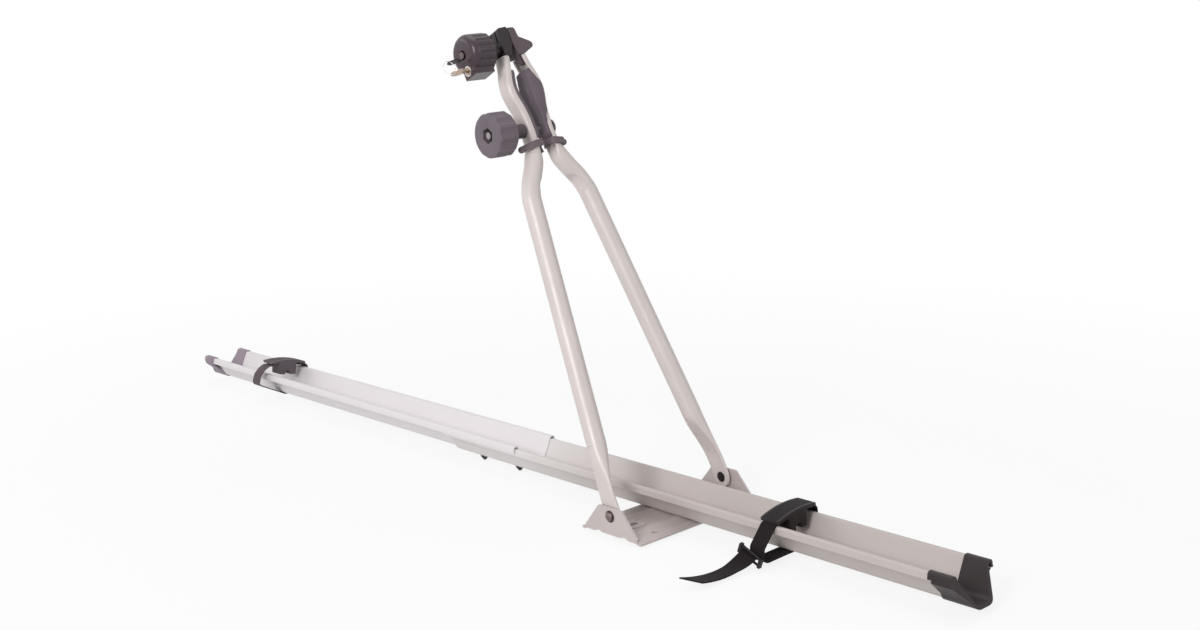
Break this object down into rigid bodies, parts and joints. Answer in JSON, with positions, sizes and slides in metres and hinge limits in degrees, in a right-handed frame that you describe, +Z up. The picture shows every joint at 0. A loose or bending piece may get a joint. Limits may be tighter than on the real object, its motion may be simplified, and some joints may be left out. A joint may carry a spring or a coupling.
{
  "type": "roof mounted bike carrier",
  "caption": "Roof bike carrier: spliced wheel tray on a pressed bracket, folding tubular frame arm with a lockable clamp head, and sliding strapped wheel holders.",
  "frame": {"origin": "under the middle of the base bracket, on the plane of its two outer flanges, which lie on the roof bar", "axes": "+X along the wheel tray to its short end, +Y across the tray away from the knobs, +Z up"},
  "size_m": [1.475, 0.2357, 0.5502],
  "materials": {
    "bracket_paint": "satin grey paint",
    "rail_front": "brushed, warm grey",
    "rail_rear": "brushed, pale",
    "cap_plastic": "fine grain",
    "arm_paint": "satin silver paint",
    "pad_rubber": "soft liner",
    "clip_plastic": "plain",
    "steel": "zinc plated",
    "black_steel": "black coated",
    "knob_gloss": "polished",
    "knob_matte": "fine grain",
    "brass": "plain",
    "lock_metal": "polished",
    "webbing": "woven webbing",
    "holder_plastic": "fine grain"
  },
  "bodies": {
    "base": {"base_bracket": "bracket_paint", "front_rail": "rail_front", "rear_rail": "rail_rear", "front_end_cap": "cap_plastic", "rear_end_cap": "cap_plastic", "splice_bolts": "steel", "splice_spacers": "steel", "splice_nuts": "black_steel", "rail_bolts": "steel", "rail_spacers": "steel", "rail_nuts": "steel", "near_pivot_bolt": "steel", "far_pivot_bolt": "steel", "near_pivot_washer": "steel", "far_pivot_washer": "steel", "near_pivot_nut": "black_steel", "far_pivot_nut": "black_steel"},
    "frame_arm": {"far_arm": "arm_paint", "far_pad": "pad_rubber", "far_tip": "clip_plastic", "far_clip": "clip_plastic", "clamp_bolt": "steel", "neck_bolt": "black_steel"},
    "near_jaw": {"near_arm": "arm_paint", "near_pad": "pad_rubber", "near_tip": "clip_plastic", "near_clip": "clip_plastic"},
    "lock_carrier": {"lock_collar": "clip_plastic"},
    "lock_knob": {"lock_knob": "knob_gloss", "lock_insert": "brass", "lock_ring": "lock_metal"},
    "lock_cylinder": {"lock_plug": "lock_metal", "lock_key": "brass", "spare_key": "black_steel", "key_ring": "steel"},
    "neck_carrier": {"neck_collar": "clip_plastic"},
    "neck_knob": {"neck_knob": "knob_matte", "neck_insert": "steel"},
    "front_holder": {"front_block": "holder_plastic", "front_strap": "webbing", "front_buckle": "holder_plastic", "front_tail": "webbing"},
    "rear_holder": {"rear_block": "holder_plastic", "rear_strap": "webbing", "rear_buckle": "holder_plastic"}
  },
  "joints": [
    {"name": "arm_fold", "type": "hinge", "parent": "base", "child": "frame_arm", "pos_m": [0, 0, 0.0235], "axis": [0, -1, 0], "range_deg": [-40, 58]},
    {"name": "jaw_open", "type": "hinge", "parent": "frame_arm", "child": "near_jaw", "pos_m": [0, -0.084, 0.0235], "axis": [0.9018, 0, 0.4321], "range_deg": [0, 2.5]},
    {"name": "lock_travel", "type": "slide", "parent": "frame_arm", "child": "lock_carrier", "axis": [0, -1, 0], "range_m": [0, 0.0262]},
    {"name": "lock_knob_spin", "type": "hinge", "parent": "lock_carrier", "child": "lock_knob", "pos_m": [-0.23765, -0.05, 0.51951], "axis": [0, -1, 0], "continuous": true},
    {"name": "lock_turn", "type": "hinge", "parent": "lock_knob", "child": "lock_cylinder", "pos_m": [-0.229, -0.066, 0.50147], "axis": [0, -1, 0], "range_deg": [0, 90]},
    {"name": "neck_travel", "type": "slide", "parent": "frame_arm", "child": "neck_carrier", "axis": [0, -1, 0], "range_m": [0, 0.0216]},
    {"name": "neck_knob_spin", "type": "hinge", "parent": "neck_carrier", "child": "neck_knob", "pos_m": [-0.19444, -0.057, 0.42933], "axis": [0, -1, 0], "continuous": true},
    {"name": "front_holder_slide", "type": "slide", "parent": "base", "child": "front_holder", "axis": [1, 0, 0], "range_m": [-0.1, 0.18]},
    {"name": "rear_holder_slide", "type": "slide", "parent": "base", "child": "rear_holder", "axis": [1, 0, 0], "range_m": [-0.14, 0.22]}
  ],
  "couplings": [
    {"joint": "lock_travel", "follows": "jaw_open", "m_per_rad": 0.5775},
    {"joint": "neck_travel", "follows": "jaw_open", "m_per_rad": 0.4725}
  ]
}
